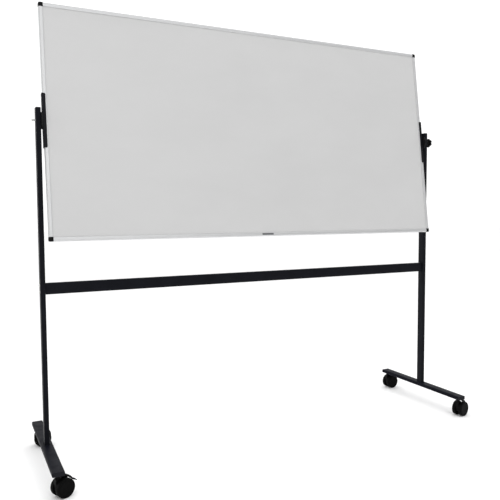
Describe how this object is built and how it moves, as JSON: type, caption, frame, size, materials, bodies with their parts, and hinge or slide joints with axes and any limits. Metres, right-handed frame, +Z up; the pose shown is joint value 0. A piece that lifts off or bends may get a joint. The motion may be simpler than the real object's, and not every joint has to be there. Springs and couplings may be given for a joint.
{
  "type": "rolling whiteboard",
  "caption": "Wide double-sided whiteboard hung between two posts, tilting and turning over on side pivots with a locking knob, on a castor stand.",
  "frame": {"origin": "on the floor, under the middle of the bounding box", "axes": "+Z up; the front writing face looks along -Y and leans back; +X is to the reader's right, towards the locking knob"},
  "size_m": [2.1456, 0.6542, 1.9625],
  "materials": {
    "stand_steel": "satin black powder coat",
    "bracket_steel": "satin black powder coat",
    "cap_plastic": "matte black",
    "disc_plastic": "matte black",
    "corner_plastic": "matte black",
    "knob_plastic": "matte black",
    "castor_plastic": "satin black",
    "wheel_plastic": "satin black",
    "rail_aluminium": "satin anodised",
    "writing_enamel": "smooth satin white enamel",
    "core": "raw fibreboard",
    "tab_plastic": "satin grey",
    "zinc_steel": "bright zinc plate"
  },
  "bodies": {
    "stand": {"post_left": "stand_steel", "post_cap_left": "cap_plastic", "foot_left": "stand_steel", "foot_cap_front_left": "cap_plastic", "foot_cap_back_left": "cap_plastic", "pivot_disc_left": "disc_plastic", "crossbar_insert_left": "zinc_steel", "crossbar_bolt_lower_left": "zinc_steel", "crossbar_bolt_upper_left": "zinc_steel", "post_right": "stand_steel", "post_cap_right": "cap_plastic", "foot_right": "stand_steel", "foot_cap_front_right": "cap_plastic", "foot_cap_back_right": "cap_plastic", "pivot_disc_right": "disc_plastic", "crossbar_insert_right": "zinc_steel", "crossbar_bolt_lower_right": "zinc_steel", "crossbar_bolt_upper_right": "zinc_steel", "crossbar": "stand_steel", "knob_washer": "zinc_steel", "castor_stem_front_left": "zinc_steel", "castor_stem_front_right": "zinc_steel", "castor_stem_back_left": "zinc_steel", "castor_stem_back_right": "zinc_steel"},
    "board": {"core_panel": "core", "writing_sheet_front": "writing_enamel", "writing_sheet_back": "writing_enamel", "rail_top": "rail_aluminium", "rail_bottom": "rail_aluminium", "rail_left": "rail_aluminium", "rail_right": "rail_aluminium", "corner_top_left": "corner_plastic", "corner_top_right": "corner_plastic", "corner_bottom_left": "corner_plastic", "corner_bottom_right": "corner_plastic", "bracket_left": "bracket_steel", "bracket_right": "bracket_steel", "name_tab": "tab_plastic", "pivot_spindle_left": "zinc_steel", "pivot_spindle_right": "zinc_steel", "pivot_nut_left": "zinc_steel"},
    "knob": {"locking_knob": "knob_plastic"},
    "castor_front_left": {"castor_hood_front_left": "castor_plastic", "castor_axle_front_left": "zinc_steel"},
    "wheel_1_front_left": {"castor_wheel_1_front_left": "wheel_plastic"},
    "wheel_2_front_left": {"castor_wheel_2_front_left": "wheel_plastic"},
    "pedal_front_left": {"brake_pedal_front_left": "castor_plastic"},
    "castor_front_right": {"castor_hood_front_right": "castor_plastic", "castor_axle_front_right": "zinc_steel"},
    "wheel_1_front_right": {"castor_wheel_1_front_right": "wheel_plastic"},
    "wheel_2_front_right": {"castor_wheel_2_front_right": "wheel_plastic"},
    "pedal_front_right": {"brake_pedal_front_right": "castor_plastic"},
    "castor_back_left": {"castor_hood_back_left": "castor_plastic", "castor_axle_back_left": "zinc_steel"},
    "wheel_1_back_left": {"castor_wheel_1_back_left": "wheel_plastic"},
    "wheel_2_back_left": {"castor_wheel_2_back_left": "wheel_plastic"},
    "castor_back_right": {"castor_hood_back_right": "castor_plastic", "castor_axle_back_right": "zinc_steel"},
    "wheel_1_back_right": {"castor_wheel_1_back_right": "wheel_plastic"},
    "wheel_2_back_right": {"castor_wheel_2_back_right": "wheel_plastic"}
  },
  "joints": [
    {"name": "board_tilt", "type": "hinge", "parent": "stand", "child": "board", "pos_m": [-0.02659, 0.00113, 1.466], "axis": [1, 0, 0], "continuous": true},
    {"name": "knob_turn", "type": "hinge", "parent": "board", "child": "knob", "pos_m": [1.02341, 0.00113, 1.466], "axis": [1, 0, 0], "range_deg": [-270, 0]},
    {"name": "swivel_front_left", "type": "hinge", "parent": "stand", "child": "castor_front_left", "pos_m": [-1.04659, -0.29587, 0.0894], "axis": [0, 0, 1], "continuous": true},
    {"name": "roll_1_front_left", "type": "hinge", "parent": "castor_front_left", "child": "wheel_1_front_left", "pos_m": [-1.02804, -0.28838, 0.038], "axis": [-0.3746, 0.9272, 0], "continuous": true},
    {"name": "roll_2_front_left", "type": "hinge", "parent": "castor_front_left", "child": "wheel_2_front_left", "pos_m": [-1.02804, -0.28838, 0.038], "axis": [-0.3746, 0.9272, 0], "continuous": true},
    {"name": "brake_front_left", "type": "hinge", "parent": "castor_front_left", "child": "pedal_front_left", "pos_m": [-1.03082, -0.2895, 0.0865], "axis": [-0.3746, 0.9272, 0], "range_deg": [0, 10]},
    {"name": "swivel_front_right", "type": "hinge", "parent": "stand", "child": "castor_front_right", "pos_m": [0.99341, -0.29587, 0.0894], "axis": [0, 0, 1], "continuous": true},
    {"name": "roll_1_front_right", "type": "hinge", "parent": "castor_front_right", "child": "wheel_1_front_right", "pos_m": [1.01282, -0.29103, 0.038], "axis": [-0.2419, 0.9703, 0], "continuous": true},
    {"name": "roll_2_front_right", "type": "hinge", "parent": "castor_front_right", "child": "wheel_2_front_right", "pos_m": [1.01282, -0.29103, 0.038], "axis": [-0.2419, 0.9703, 0], "continuous": true},
    {"name": "brake_front_right", "type": "hinge", "parent": "castor_front_right", "child": "pedal_front_right", "pos_m": [1.00991, -0.29176, 0.0865], "axis": [-0.2419, 0.9703, 0], "range_deg": [0, 10]},
    {"name": "swivel_back_left", "type": "hinge", "parent": "stand", "child": "castor_back_left", "pos_m": [-1.04659, 0.29813, 0.0894], "axis": [0, 0, 1], "continuous": true},
    {"name": "roll_1_back_left", "type": "hinge", "parent": "castor_back_left", "child": "wheel_1_back_left", "pos_m": [-1.02669, 0.29604, 0.038], "axis": [0.1045, 0.9945, 0], "continuous": true},
    {"name": "roll_2_back_left", "type": "hinge", "parent": "castor_back_left", "child": "wheel_2_back_left", "pos_m": [-1.02669, 0.29604, 0.038], "axis": [0.1045, 0.9945, 0], "continuous": true},
    {"name": "swivel_back_right", "type": "hinge", "parent": "stand", "child": "castor_back_right", "pos_m": [0.99341, 0.29813, 0.0894], "axis": [0, 0, 1], "continuous": true},
    {"name": "roll_1_back_right", "type": "hinge", "parent": "castor_back_right", "child": "wheel_1_back_right", "pos_m": [1.0134, 0.29883, 0.038], "axis": [-0.0349, 0.9994, 0], "continuous": true},
    {"name": "roll_2_back_right", "type": "hinge", "parent": "castor_back_right", "child": "wheel_2_back_right", "pos_m": [1.0134, 0.29883, 0.038], "axis": [-0.0349, 0.9994, 0], "continuous": true}
  ]
}
